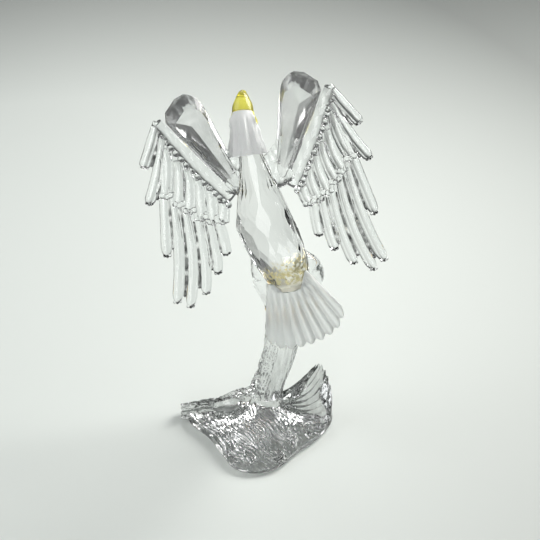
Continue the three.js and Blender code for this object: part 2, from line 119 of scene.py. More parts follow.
# Head and beak
HEAD_SPINE = [(2.4, 0.3, 13.9), (2.2, -0.3, 17), (1.8, -1.4, 20.6), (1.5, -3, 24.4), (0.9, -5.2, 28)]
HEAD_GIRTHS = [7.1, 6.4, 5.6, 4.9, 4.35]
CHEEKS = [(-2.9, -4.4, 27.4), (-3.4, -3.9, 26), (-3.8, -3.4, 24.8), (5, -4.8, 27.8)]
RUFF_SCALLOPS = 8
RUFF_DROP = 0.8
BEAK_LENGTH = 11
BEAK_HEIGHT = 8
BEAK_WIDTH = 8.2
BEAK_HOOK = 6

# Tail fan
TAIL_ROOT = (-2.6, 4, -38.7)
TAIL_LENGTH = 26.8
TAIL_HALF_ANGLE = 22.5
TAIL_ROOT_HALF_WIDTH = 8.3
TAIL_CORNER = 5.5
TAIL_RIBS = 9
TAIL_TURN = 10
TAIL_BACK = 14
TAIL_THICKNESS = 3.4
TAIL_GROOVE = 1.15
TAIL_SCALLOP = 1.6

# Legs and feet
HIPS = {"left": (5.8, -2.5, -26), "right": (-7, -2.5, -30)}
KNEES = {"left": (7, -4, -39.5), "right": (-13, -4, -40.5)}
LEG_GIRTHS = [3.4, 4.4, 4.2, 3.2, 2.5, 2.3]
SHIN_BULGE = 0.8
FOOT_SPREAD = 9.6
ANKLE_HEIGHT = 5.2
ANKLE_RADIUS = 2.5
TOE_TURNS = [-30, 0, 30, 180]
TOE_LENGTH = 6.2
TOE_RADIUS = 1.15
TOE_ARCH = 2.6

# Driftwood
STUMP_PATH = [(-3.4, -15.6, 3), (-4.6, -16, 14), (-7, -16, 23), (-9.4, -16, 34), (-11, -15.6, 52)]
STUMP_TOP = 50
STUMP_GIRTHS = [8.4, 6.4, 6.2, 6.6, 7, 8]
RIM = [
    (28.6, -14, 5), (29.6, -8, 4.2), (20.5, 3.5, 4.4), (14.6, 14, 3.6), (9.4, 22.4, 2.8),
    (0.7, 25.4, 2.4), (-8.4, 22, 2.8), (-16.4, 12.6, 3.4), (-24.4, 4.6, 3.6), (-30, -4, 5),
    (-31.4, -10, 12), (-29.4, -15, 20), (-26.4, -17.2, 24.4), (-23.6, -18.4, 21.6), (-20, -20, 11.6),
    (-16.4, -21.6, 3.6), (-9, -23, 3.6), (0, -23.6, 8), (9, -22.4, 7.6), (19, -19.4, 4.4),
]
SKIRT_SPREAD = 1.004
SKIRT_HEIGHT = 1.4
UNDERCUT = 0.95
MOUND_HEIGHT = 9
HOLLOW_DEPTH = 2.4
BRANCH_END = (33.2, -12.4, 3.4)
BRANCH_ROOT = (19, -13, 4.4)
BRANCH_RADIUS = 3.1

GLUE_GAP = 0.3
BODY_BEVEL = 0.12

# Turns round the head and the beak, in radians from its left side
EYE_TURN = 0.35
LIP_TURN = -0.3
NOSTRIL_TURN = 0.75

# Feathers: how far they are set back and forward by turns, and the knobs at their tips, as size and depth
COVERT_LIFT = 0.25
QUILL_LIFT = 0.2
COVERT_KNOB = (1.2, 1.3)
QUILL_KNOB = (0.62, 0.75)
QUILL_KNOB_SPREAD = 0.75
KNOB_SHARES = (-0.3, 0.02, 0.33)
FEATHER_BEND = 0.57
VALLEY_SHARES = (0.12, 0.35, 0.6, 0.82, 0.93)
# Each small scale: its place beside its path, and its lean in degrees
SCALE_PLACE = (-0.6, 0, 0.4)
SCALE_LEAN = -25

# Finishes: scales in lumps for each metre, heights in millimetres
CLOUD_SCALE = 60.0
RIPPLE_SCALE = 260.0
RIPPLE_HEIGHT = 0.03
POLISH = 0.004
ARM_CLEARNESS = 0.9
FROST_SCALE = 180.0
ETCH_SCALE = 5200.0
ETCH_HEIGHT = 0.02
FROST_INDEX = 1.5
HEAD_CLEARNESS = 0.18
# Depths below the shoulder at which the painted gilt glints, a painted reflection, and the cream edge come
# in, in millimetres
PAINTED_GLINT_START = (31.0, 33.5)
CREAM_EDGE = (38.6, 40.6)
# Radii between which the yellow of a cheek fades, in metres
CHEEK_EDGE = (0.0016, 0.0021)

# Stage, in metres and watts
FLOOR_SIZE = 8
FLOOR_HEIGHT = -0.00015
# Painted shade on the floor: darker away from a centre, standing in for the fall-off of the lights
PAINTED_FALLOFF_STRETCH = (2.0, 1.2, 0.0)
PAINTED_FALLOFF_CENTRE = (0.25, -0.13, 0.0)
PAINTED_FALLOFF_RADII = (0.3, 0.74)
PAINTED_FALLOFF_SHADE = 0.4
LIGHT_AIM = (0, 0, 0.08)
LIGHTS = [
    ("key", (-0.4, -0.25, 0.44), 0.44, 5.0, (1.0, 0.99, 0.97)),
    ("side", (0.45, -0.05, 0.42), 0.4, 0.9, (0.97, 0.99, 1.0)),
    ("front", (0.1, 1.1, 0.3), 0.5, 2.5, (1.0, 1.0, 1.0)),
    ("fill", (-0.1, 1.2, 0.8), 1.2, 3.6, (1.0, 1.0, 1.0)),
    ("back", (0.1, -0.75, 0.6), 0.4, 0.8, (1.0, 1.0, 1.0)),
]
SKY_STOPS = [
    (0.0, (0.5, 0.51, 0.505, 1)),
    (0.25, (0.52, 0.53, 0.525, 1)),
    (0.55, (0.7, 0.72, 0.71, 1)),
    (1.0, (1.0, 1.0, 1.0, 1)),
]
SKY_STRENGTH = 0.24
CAMERA_PLACE = (-0.005, 0.39456, 0.32936)
CAMERA_TILT = 58
CAMERA_LENS = 80
CAMERA_SENSOR = 36


# Sums
def turned(axis, degrees):
    return Matrix.Rotation(math.radians(degrees), 4, axis)


POSE = Matrix.Translation(Vector(SHOULDER) * MM) @ turned("Z", YAW) @ turned("Y", ROLL) @ turned("X", PITCH)


def mix(low, high, share):
    return low + (high - low) * share


def clamp(value, low=0.0, high=1.0):
    return max(low, min(high, value))


def ease(low, high, value):
    share = clamp((value - low) / (high - low))
    return share * share * (3 - 2 * share)


def hump(value, width):
    return math.exp(-((value / width) ** 2))


def smooth_path(points, share, closed=False):
    """The point at a share of an even-handed curve through the points."""
    count = len(points)
    place = share * (count if closed else count - 1)
    first = int(place)
    if not closed and first > count - 2:
        first = count - 2
    weight = place - first
    if closed:
        near = [points[(first + step) % count] for step in (-1, 0, 1, 2)]
    else:
        before = points[first - 1] if first else points[0] * 2 - points[1]
        after = points[first + 2] if first + 2 < count else points[-1] * 2 - points[-2]
        near = [before, points[first], points[first + 1], after]
    gaps = [max((near[i + 1] - near[i]).length, 1e-6) ** 0.5 for i in range(3)]
    start = near[1] - near[0]
    start = start / gaps[0] - (near[2] - near[0]) / (gaps[0] + gaps[1]) + (near[2] - near[1]) / gaps[1]
    end = (near[2] - near[1]) / gaps[1] - (near[3] - near[1]) / (gaps[1] + gaps[2])
    end = end + (near[3] - near[2]) / gaps[2]
    start, end = start * gaps[1], end * gaps[1]
    square, cube = weight * weight, weight ** 3
    return (
        near[1] * (2 * cube - 3 * square + 1) + start * (cube - 2 * square + weight)
        + near[2] * (3 * square - 2 * cube) + end * (cube - square)
    )


def heading(points, share, closed=False):
    low, high = max(share - 1e-4, 0), min(share + 1e-4, 1)
    return (smooth_path(points, high, closed) - smooth_path(points, low, closed)).normalized()


def on_line(line, along):
    """The point at a share of the bow from a root, past a bend, to a tip."""
    root, bend, tip = line
    return root * (1 - along) ** 2 + bend * 2 * along * (1 - along) + tip * along ** 2


def girth_at(girths, along):
    place = clamp(along) * (len(girths) - 1)
    first = min(int(place), len(girths) - 2)
    share = place - first
    blend = mix(share, share * share * (3 - 2 * share), 0.5)
    return mix(girths[first], girths[first + 1], blend)


# Modelling
def select_only(piece):
    bpy.ops.object.select_all(action="DESELECT")
    piece.select_set(True)
    bpy.context.view_layer.objects.active = piece


def name_it(piece, name):
    piece.name = name
    piece.data.name = name
    return piece


def added(name, add, **settings):
    """Add a primitive with nothing else selected, and put its place in its mesh."""
    bpy.ops.object.select_all(action="DESELECT")
    add(**settings)
    piece = name_it(bpy.context.object, name)
    bpy.ops.object.transform_apply(location=True, rotation=True, scale=True)
    return piece


def weld(piece):
    """Merge points that meet and turn every face outwards."""
    select_only(piece)
    bpy.ops.object.mode_set(mode="EDIT")
    bpy.ops.mesh.select_all(action="SELECT")
    bpy.ops.mesh.remove_doubles(threshold=2e-6)
    bpy.ops.mesh.normals_make_consistent(inside=False)
    bpy.ops.object.mode_set(mode="OBJECT")
    return piece


def laid(name, columns, rows, place):
    """A fine grid laid over a form: place(across, along) gives each of its points in millimetres."""
    piece = added(name, bpy.ops.mesh.primitive_grid_add, x_subdivisions=columns, y_subdivisions=rows, size=2)
    for point in piece.data.vertices:
        across, along = (point.co.x + 1) / 2, (point.co.y + 1) / 2
        point.co = Vector(place(across, along)) * MM
    return weld(piece)


def tube(name, sides, steps, place):
    """A closed tube: place(along, turn, reach) gives its skin at reach 1 and its two ends at reach 0."""
    def point(across, along):
        row = round(along * (steps + 2))
        reach = 0 if row in (0, steps + 2) else 1
        return place(clamp((row - 1) / steps), (across % 1) * 2 * math.pi, reach)
    return laid(name, sides, steps + 2, point)


def limb(name, path, girths, sides, steps, relief=lambda along, turn: 0):
    """A round limb along a smooth path, with relief in millimetres on its skin."""
    path = [Vector(point) for point in path]

    def place(along, turn, reach):
        tangent = heading(path, along)
        side = Vector((1, 0, 0))
        side = (side - tangent * side.dot(tangent)).normalized()
        front = tangent.cross(side)
        radius = (girth_at(girths, along) + relief(along, turn)) * reach
        return smooth_path(path, along) + (side * math.cos(turn) + front * math.sin(turn)) * radius
    return tube(name, sides, steps, place)


def block(name, size, centre=(0, 0, 0)):
    size, centre = Vector(size) * MM, Vector(centre) * MM
    return added(name, bpy.ops.mesh.primitive_cube_add, size=1, location=centre, scale=size)


def cut(piece, planes):
    """Cut away what lies beyond each plane, given as a point in millimetres and a normal."""
    select_only(piece)
    bpy.ops.object.mode_set(mode="EDIT")
    for point, normal in planes:
        bpy.ops.mesh.select_all(action="SELECT")
        bpy.ops.mesh.bisect(
            plane_co=Vector(point) * MM, plane_no=normal, use_fill=True, clear_outer=True, threshold=1e-7,
        )
    bpy.ops.object.mode_set(mode="OBJECT")
    return piece


def join(piece, others, operation="UNION", keep=False):
    """Join, cut or cross a piece with others, which are used up unless they are kept."""
    for other in others:
        select_only(piece)
        boolean = piece.modifiers.new("join", "BOOLEAN")
        boolean.operation = operation
        boolean.solver = "MANIFOLD"
        boolean.object = other
        bpy.ops.object.modifier_apply(modifier=boolean.name)
        if not keep:
            bpy.data.objects.remove(other)
    if not piece.data.polygons:
        raise RuntimeError("nothing is left of " + piece.name)
    return piece


def copied(piece, name):
    twin = piece.copy()
    twin.data = piece.data.copy()
    bpy.context.collection.objects.link(twin)
    return name_it(twin, name)


def moved(piece, matrix):
    piece.data.transform(matrix)
    if matrix.determinant() < 0:
        piece.data.flip_normals()
    piece.data.update()
    return piece


def round_edges(piece, width, segments=1, angle=12):
    select_only(piece)
    bevel = piece.modifiers.new("edges", "BEVEL")
    bevel.width = width * MM
    bevel.segments = segments
    bevel.limit_method = "ANGLE"
    bevel.angle_limit = math.radians(angle)
    bpy.ops.object.modifier_apply(modifier=bevel.name)
    return piece


def finished(piece, material, slot, *nodes, smooth=30):
    """Shade a piece, give it its finish unless it has one and let it stand for the CAD nodes."""
    select_only(piece)
    bpy.ops.object.shade_smooth_by_angle(angle=math.radians(smooth))
    if material:
        piece.data.materials.clear()
        piece.data.materials.append(bpy.data.materials[material])
    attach(piece, "root")
    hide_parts(*nodes)
    return piece


# Materials
class Wire:
    """A socket to reckon with: sums and products of wires add their Math nodes."""

    def __init__(self, tree, socket=None):
        self.tree = tree
        self.socket = socket

    def node(self, kind, settings=None, sockets=None, output=0):
        """Add a node: its settings first, then the values or wires of its sockets."""
        node = self.tree.nodes.new(kind)
        for key, value in (settings or {}).items():
            if key == "stops":
                ramp = node.color_ramp
                while len(ramp.elements) < len(value):
                    ramp.elements.new(0.5)
                for element, (place, colour) in zip(ramp.elements, value):
                    element.position = place
                    element.color = colour
            else:
                setattr(node, key, value)
        for key, value in (sockets or {}).items():
            if isinstance(value, Wire):
                self.tree.links.new(value.socket, node.inputs[key])
            else:
                node.inputs[key].default_value = value
        return Wire(self.tree, node.outputs[output])

    def maths(self, operation, first, second=0.0):
        return self.node("ShaderNodeMath", {"operation": operation}, {0: first, 1: second})

    def __add__(self, other):
        return self.maths("ADD", self, other)

    __radd__ = __add__

    def __rsub__(self, other):
        return self.maths("SUBTRACT", other, self)

    def __mul__(self, other):
        return self.maths("MULTIPLY", self, other)

    __rmul__ = __mul__

    def vectors(self, operation, other, output=0):
        """Vector maths with another vector; output 1 is for a sum that gives a number."""
        return self.node("ShaderNodeVectorMath", {"operation": operation}, {0: self, 1: other}, output)

    def tint(self, low, high):
        """A colour between two colours or wires, by this wire."""
        low, high = (end if isinstance(end, Wire) else (*end, 1) for end in (low, high))
        return self.node("ShaderNodeMix", {"data_type": "RGBA"}, {0: self, 6: low, 7: high}, output=2)

    def sharpen(self, low, high):
        """This wire stretched from low to high onto 0 to 1."""
        return self.node("ShaderNodeMapRange", {"clamp": True}, {0: self, 1: low, 2: high})

    def speckle(self, scale, detail=2.0):
        """Soft noise at this place; scale is in lumps for each metre."""
        sockets = {"Vector": self, "Scale": scale, "Detail": detail, "Roughness": 0.5}
        return self.node("ShaderNodeTexNoise", {}, sockets)

    def bump(self, distance):
        """This wire as the height of a bump, its distance in millimetres."""
        return self.node("ShaderNodeBump", {}, {"Strength": 1.0, "Distance": distance * MM, "Height": self})


def finish(name, build, **plain):
    """A material: build(place) gives the varying inputs, and plain values go on the shader's own sockets."""
    material = bpy.data.materials.new(name)
    material.use_nodes = True
    tree = material.node_tree
    shader = tree.nodes["Principled BSDF"]
    place = Wire(tree).node("ShaderNodeTexCoord", output=3)
    for key, value in plain.items():
        shader.inputs[key.replace("_", " ")].default_value = value
    for key, value in build(place).items():
        tree.links.new(value.socket, shader.inputs[key])
    return material


def shaded(colour, share):
    """A colour made darker or lighter, with no part past 1."""
    return tuple(min(share * part, 1) for part in colour)


def clear_glass(name, looks, paint, clearness=1.0):
    """Clear crystal, faintly rippled: paint(place, cloud, rough) gives its colour and the like."""
    def build(place):
        cloud = place.speckle(CLOUD_SCALE)
        rough = POLISH + 0.02 * cloud
        plain = {"Roughness": rough, "Normal": place.speckle(RIPPLE_SCALE, 1.0).bump(RIPPLE_HEIGHT)}
        return {**plain, **paint(place, cloud, rough)}
    return finish(name, build, Transmission_Weight=clearness, IOR=looks.crystal_ior, Specular_IOR_Level=0.5)


def clear_crystal(looks):
    def paint(place, cloud, rough):
        return {"Base Color": cloud.tint(looks.crystal_tint, (0.97, 0.98, 0.98))}
    return clear_glass("clear crystal", looks, paint)


def driftwood_crystal_with_painted_shade(looks):
    """Clear crystal of the driftwood, with upright streaks of painted grey shade."""
    def paint(place, cloud, rough):
        # Painted shade: grey upright streaks stand in for the dark seen through the driftwood
        painted_shade_streak = place.vectors("MULTIPLY", (1.0, 1.0, 0.16)).speckle(420.0, 1.5).sharpen(0.36, 0.62)
        return {"Base Color": painted_shade_streak.tint(shaded(looks.crystal_tint, 0.66), shaded(looks.crystal_tint, 0.93))}
    return clear_glass("cast crystal", looks, paint)


def arm_crystal_with_painted_shade(looks):
    """Clear crystal of the wing arms, with soft grey patches of painted shade."""
    def paint(place, cloud, rough):
        # Painted shade: soft grey patches stand in for the dark that the arms' facets show
        depth = place.speckle(95.0, 1.0).sharpen(0.4, 0.6)
        return {"Base Color": depth.tint(shaded(looks.crystal_tint, 0.9), (0.98, 0.98, 0.98))}
    return clear_glass("smoky crystal", looks, paint, ARM_CLEARNESS)


def valley_crystal_with_painted_shade(looks):
    """Clear crystal between the feathers, with patches of painted shade between clear ones by turns."""
    def paint(place, cloud, rough):
        # Painted shade: dark patches stand in for the dark lines in the grooves between the feathers
        painted_shade_streak = place.speckle(300.0, 1.0).sharpen(0.42, 0.58)
        return {"Base Color": painted_shade_streak.tint(shaded(looks.crystal_tint, 0.12), (1.0, 1.0, 1.0))}
    return clear_glass("deep crystal", looks, paint)


def painted_gilt_glint_crystal(looks):
    """Clear crystal with painted glints of gilt in the rump, a painted reflection of the gilt feet, with a
    cream edge where the body meets the tail.
    """
    def paint(place, cloud, rough):
        axis = POSE.to_3x3() @ Vector((0, 0, 1 / MM))
        apart = place.vectors("SUBTRACT", tuple(POSE.translation))
        height = apart.vectors("DOT_PRODUCT", tuple(axis), output=1)
        depth = -1 * height
        patch = place.speckle(560.0, 1.5).sharpen(0.46, 0.54)
        rim = depth.sharpen(*CREAM_EDGE)
        # Painted reflection: gold patches low in the rump stand in for glints of the gilt feet, as colour and
        # as metal
        painted_gilt_glint = depth.sharpen(*PAINTED_GLINT_START) * (0.25 + 0.75 * patch) * (1 - rim)
        clear = cloud.tint(shaded(looks.crystal_tint, 0.86), (0.96, 0.96, 0.96))
        return {
            "Base Color": rim.tint(painted_gilt_glint.tint(clear, looks.painted_glint_colour), (1.0, 0.97, 0.86)),
            "Metallic": painted_gilt_glint * patch * 0.65 + 0.5 * rim,
            "Roughness": rough + 0.3 * rim,
        }
    return clear_glass("gilded crystal", looks, paint)


def frosted_glass(name, paint, roughness, clearness):
    """Etched crystal: paint(place, cloud) gives its colour."""
    def build(place):
        cloud = place.speckle(FROST_SCALE)
        return {
            "Base Color": paint(place, cloud),
            "Roughness": roughness + 0.14 * cloud,
            "Normal": place.speckle(ETCH_SCALE).bump(ETCH_HEIGHT),
        }
    return finish(name, build, Transmission_Weight=clearness, IOR=FROST_INDEX)


def frosted_crystal(looks):
    def paint(place, cloud):
        return cloud.tint((0.93, 0.96, 0.945), (0.985, 1.0, 0.99))
    return frosted_glass("frosted crystal", paint, 0.27, looks.frost_clearness)


def head_crystal(looks):
    """Frosted crystal with the yellow of the gape running back along the cheeks."""
    def paint(place, cloud):
        near = 1.0
        for cheek in CHEEKS:
            apart = place.vectors("DISTANCE", tuple(POSE @ (Vector(cheek) * MM)), output=1)
            near = near * apart.sharpen(*CHEEK_EDGE)
        return near.tint(looks.beak_colour, cloud.tint((0.96, 0.985, 0.97), (0.99, 1.0, 0.995)))
    return frosted_glass("frosted head", paint, 0.4, HEAD_CLEARNESS * looks.frost_clearness)


def yellow_crystal(looks):
    def build(place):
        cloud = place.speckle(500.0)
        return {
            "Base Color": cloud.tint(looks.beak_colour, shaded(looks.beak_colour, 1.12)),
            "Roughness": 0.12 + 0.14 * cloud,
            "Normal": cloud.bump(0.02),
        }
    return finish("yellow crystal", build, Transmission_Weight=0.8, IOR=1.54)


def gilt_metal(looks):
    def build(place):
        cloud = place.speckle(420.0)
        scratch = place.speckle(2600.0)
        return {
            "Base Color": cloud.tint(looks.gilt_colour, shaded(looks.gilt_colour, 1.2)),
            "Roughness": 0.16 + 0.22 * cloud * scratch,
            "Normal": scratch.bump(0.015),
        }
    return finish("gilt metal", build, Metallic=1.0)


FINISHES = [
    clear_crystal, driftwood_crystal_with_painted_shade, arm_crystal_with_painted_shade, valley_crystal_with_painted_shade, painted_gilt_glint_crystal,
    frosted_crystal, head_crystal, yellow_crystal, gilt_metal,
]


class EagleSizes(bpy.types.PropertyGroup):
    """Sizes of the eagle's own details."""
    quill_width: FloatProperty(
        name="Quill width", description="Width of one flight feather", default=4.35 * MM, unit="LENGTH")
    quill_thickness: FloatProperty(
        name="Quill thickness", description="Thickness of one flight feather", default=3.2 * MM,
        unit="LENGTH")
    covert_width: FloatProperty(
        name="Covert width", description="Width of one covert feather", default=4.9 * MM, unit="LENGTH")
    covert_thickness: FloatProperty(
        name="Covert thickness", description="Thickness of one covert feather", default=3.6 * MM,
        unit="LENGTH")
    scale_count: IntProperty(
        name="Scales", description="Small scales along the wing's band", default=15, min=3, max=30)
    wood_relief: FloatProperty(
        name="Wood relief", description="Height of the driftwood's ridges", default=0.5 * MM, unit="LENGTH")


class EagleLooks(bpy.types.PropertyGroup):
    """Colours and clearness of the crystal and the metal."""
    crystal_ior: FloatProperty(
        name="Crystal index", description="Refraction of the clear crystal", default=1.54, min=1.0, max=2.5)
    crystal_tint: FloatVectorProperty(
        name="Crystal tint", description="Faintest tint of the clear crystal", subtype="COLOR",
        default=(0.9, 0.915, 0.91), min=0, max=1)
    frost_clearness: FloatProperty(
        name="Frost clearness", description="Share of light that the frosted crystal lets through",
        default=0.7, min=0, max=1, subtype="FACTOR")
    beak_colour: FloatVectorProperty(
        name="Beak colour", description="Colour of the beak", subtype="COLOR",
        default=(0.86, 0.8, 0.14), min=0, max=1)
    # Colour of the painted gilt glints in the rump, a painted reflection
    painted_glint_colour: FloatVectorProperty(
        name="Glint colour", description="Colour of the gilt glints in the rump", subtype="COLOR",
        default=(0.74, 0.66, 0.36), min=0, max=1)
    gilt_colour: FloatVectorProperty(
        name="Gilt colour", description="Colour of the gilt feet", subtype="COLOR",
        default=(0.78, 0.55, 0.2), min=0, max=1)
    floor_colour: FloatVectorProperty(
        name="Floor colour", description="Colour of the floor and backdrop", subtype="COLOR",
        default=(0.69, 0.728, 0.697), min=0, max=1)


# Body
def body_form(name, clearance):
    """A block cut by flats that touch an egg-shaped form in staggered rows."""
    height = BODY_TOP - BODY_BOTTOM + 2 * clearance
    piece = block(name, (40, 40, height), (0, 0, (BODY_TOP + BODY_BOTTOM) / 2))
    planes = []
    for row, (_, _, wide, deep) in enumerate(BODY_LEVELS):
        above = BODY_LEVELS[max(row - 1, 0)]
        below = BODY_LEVELS[min(row + 1, len(BODY_LEVELS) - 1)]
        for side in range(BODY_SIDES):
            turn = 2 * math.pi * (side + 0.5 * (row % 2)) / BODY_SIDES

            def at(level):
                return Vector((level[1] + level[2] * math.cos(turn), level[3] * math.sin(turn), level[0]))
            level_way = Vector((-wide * math.sin(turn), deep * math.cos(turn), 0))
            normal = level_way.cross(at(above) - at(below)).normalized()
            planes.append((at(BODY_LEVELS[row]) + normal * clearance, normal))
    return moved(cut(piece, planes), POSE)


# Head
def locks(along, turn, rows, count):
    """Height, from 0 to 1, of staggered rows of feather locks whose tips point back along the form."""
    for row in range(rows + 1, -1, -1):
        bow = 0.5 + 0.5 * math.cos(count * turn + math.pi * (row % 2))
        edge = (row - 0.7 * math.sqrt(bow)) / rows
        if along >= edge:
            return clamp(1 - 0.75 * (along - edge) * rows) * (0.55 + 0.45 * bow)
    return 0


def head_form(name, clearance, sides=16, steps=8, fine=False):
    def relief(along, turn):
        girth = girth_at(HEAD_GIRTHS, along)
        height = clearance + 0.03 * (girth + clearance) * math.cos(RUFF_SCALLOPS * turn) * (1 - along)
        if fine:
            flutes = 0.32 * math.cos(8 * turn) + 0.28 * math.cos(13 * turn + 1.3 + 3 * along)
            flutes += 0.12 * math.cos(23 * turn - 3 * along)
            height += flutes * (1 - ease(0.5, 0.95, along)) - 0.1
            height += 0.22 * locks(along, turn, 5, RUFF_SCALLOPS) * (1 - ease(0.1, 0.55, along))
            for eye in (EYE_TURN, math.pi - EYE_TURN):
                apart = math.hypot((along - 0.8) * 15, (turn - eye) * 4.4)
                height += 0.55 * hump(apart - 1.25, 0.35) - 0.35 * hump(apart, 0.9) + 0.45 * hump(apart, 0.5)
                brow = hump((turn - (eye + (0.32 if eye < 1 else -0.32))) * 4.4, 0.7)
                height += 0.6 * brow * ease(0.58, 0.75, along) * (1 - ease(0.9, 1, along))
        return height
    form = limb(name, HEAD_SPINE, HEAD_GIRTHS, sides, steps, relief)
    rim = Vector(HEAD_SPINE[0])
    for point in form.data.vertices:
        apart = point.co / MM - rim
        if apart.z < 1.5 and math.hypot(apart.x, apart.y) > 0.5 * HEAD_GIRTHS[0]:
            turn = math.atan2(apart.y, apart.x)
            fade = 1 if not fine else clamp((1.5 - apart.z) / 1.5)
            drop = RUFF_DROP * (0.5 + 0.5 * math.cos(RUFF_SCALLOPS * turn)) + clearance
            point.co.z -= drop * fade * MM
    form.data.update()
    return moved(form, POSE)


def beak_form(name):
    start, before = Vector(HEAD_SPINE[-1]), Vector(HEAD_SPINE[-2])
    forward = (start - before).normalized()
    first = start + forward * GLUE_GAP
    middle = start + forward * BEAK_LENGTH
    last = middle + Vector((0, -0.5, -BEAK_HOOK))
    side = (Vector((1, 0, 0)) - forward * forward.x).normalized()

    def place(along, turn, reach):
        centre = on_line((first, middle, last), along)
        tangent = (mix(middle, last, along) - mix(first, middle, along)).normalized()
        up = side.cross(tangent).normalized()
        slim = 1 - 0.93 * along ** 1.6
        cere = 0.25 * hump(along - 0.16, 0.07) - 0.12 * hump(along - 0.27, 0.04)
        gape = 0.0
        for lip in (LIP_TURN, math.pi - LIP_TURN):
            apart = (turn - lip + math.pi) % (2 * math.pi) - math.pi
            gape += hump(apart * 4 * slim, 0.35)
        lower = 0.5 - 0.5 * math.sin(turn)
        radius = slim - 0.1 * gape * (1 - ease(0.5, 0.8, along)) + 0.06 * cere
        radius *= 1 - 0.28 * lower * ease(0.35, 0.75, along)
        for nostril in (NOSTRIL_TURN, math.pi - NOSTRIL_TURN):
            radius -= 0.09 * hump(math.hypot((along - 0.2) * 11, (turn - nostril) * 3.6), 0.55)
        radius *= reach
        narrow = mix(1, 0.54, ease(0, 0.5, along)) * (1 - 0.86 * along ** 4) / slim
        return centre + side * (0.5 * BEAK_WIDTH * radius * narrow * math.cos(turn)) + up * (
            0.5 * BEAK_HEIGHT * radius * math.sin(turn))
    return moved(tube(name, 48, 40, place), POSE)


# Wing
def rounded(turn, power=0.7):
    """A point on a bar's section: flat faces that round over into its edges."""
    across, rise = math.cos(turn), math.sin(turn)
    return math.copysign(abs(across) ** power, across), math.copysign(abs(rise) ** power, rise)


def shaft_line(quill):
    """The three points that a feather's shaft bends along: root, bend and tip."""
    root, tip, lead = quill
    root, tip, lead = Vector(root), Vector(tip), math.radians(lead)
    return root, root + Vector((math.sin(lead), -math.cos(lead))) * (root - tip).length * FEATHER_BEND, tip


def valley(name, first, second, width, thickness):
    """A thin bead of glass that joins two neighbouring feathers down to the tip of the shorter."""
    long, short = shaft_line(first), shaft_line(second)
    if on_line(long, 1).y > on_line(short, 1).y:
        long, short = short, long
    shares = [i / 40 for i in range(41)]

    def between(along):
        near = on_line(short, along)
        other = min((on_line(long, share) for share in shares), key=lambda point: (point - near).length)
        return (near + other) / 2
    path = [between(along) for along in VALLEY_SHARES]

    def place(along, turn, reach):
        tangent = heading(path, along)
        swell = math.sqrt(1 - 0.9 * (2 * along - 1) ** 8) * reach
        ripple = 1 + 0.16 * math.sin(11 * along + path[0].x) + 0.1 * math.sin(29 * along)
        across = 0.5 * width * swell * ripple * math.cos(turn)
        rise = 0.5 * thickness * swell * math.sin(turn)
        centre = smooth_path(path, along)
        return (centre.x + across * tangent.y, rise, centre.y - across * tangent.x)
    return tube(name, 12, 40, place)


def feather(name, quill, width, thickness, lift):
    """One feather: a flat rod in section, with a groove beside its shaft and a rounded tip."""
    root, bend, tip = shaft_line(quill)

    def place(row, turn, reach):
        along = 1 - (1 - row) ** 2
        centre = on_line((root, bend, tip), along)
        tangent = mix(bend, tip, along) - mix(root, bend, along)
        tangent.normalize()
        rounding = math.sqrt(1 - 0.99 * clamp((along - 0.88) / 0.12) ** 2)
        half = 0.5 * width * mix(0.7, 1, clamp(along / 0.35)) * rounding * reach
        across, rise = rounded(turn, 0.75)
        rise *= 1 - 0.3 * hump(across - 0.35, 0.22)
        across *= half
        depth = 0.5 * thickness * mix(1, 0.8, along) * math.sqrt(rounding) * reach
        depth *= 1 + 0.05 * math.sin(9 * along + 2 * root.x)
        rise *= depth
        return (centre.x + across * tangent.y, lift + rise, centre.y - across * tangent.x)
    return tube(name, 40, 26, place)


def knobs(quill, width, size, depth):
    """Small round knobs side by side at the tip of a feather."""
    root, tip, lead = quill
    root, tip = Vector(root), Vector(tip)
    down = (tip - root).normalized()
    made = []
    for share in KNOB_SHARES:
        at = tip + Vector((down.y, -down.x)) * width * share - down * (size * (0.5 + 5 * share * share))
        made.append(added(
            "knob", bpy.ops.mesh.primitive_uv_sphere_add,
            segments=14, ring_count=9, radius=size * MM, location=Vector((at.x, depth, at.y)) * MM))
    return made


def sides_of(outline):
    """For each side of a clockwise outline, its first point and the way outwards."""
    for (u, v), ahead in zip(outline, [*outline[1:], outline[0]]):
        yield u, v, Vector((v - ahead[1], 0, ahead[0] - u)).normalized()


def plate(name, outline, thickness):
    """A block cut to a convex outline given clockwise."""
    piece = block(name, (120, thickness, 120))
    return cut(piece, [((u, 0, v), outward) for u, v, outward in sides_of(outline)])


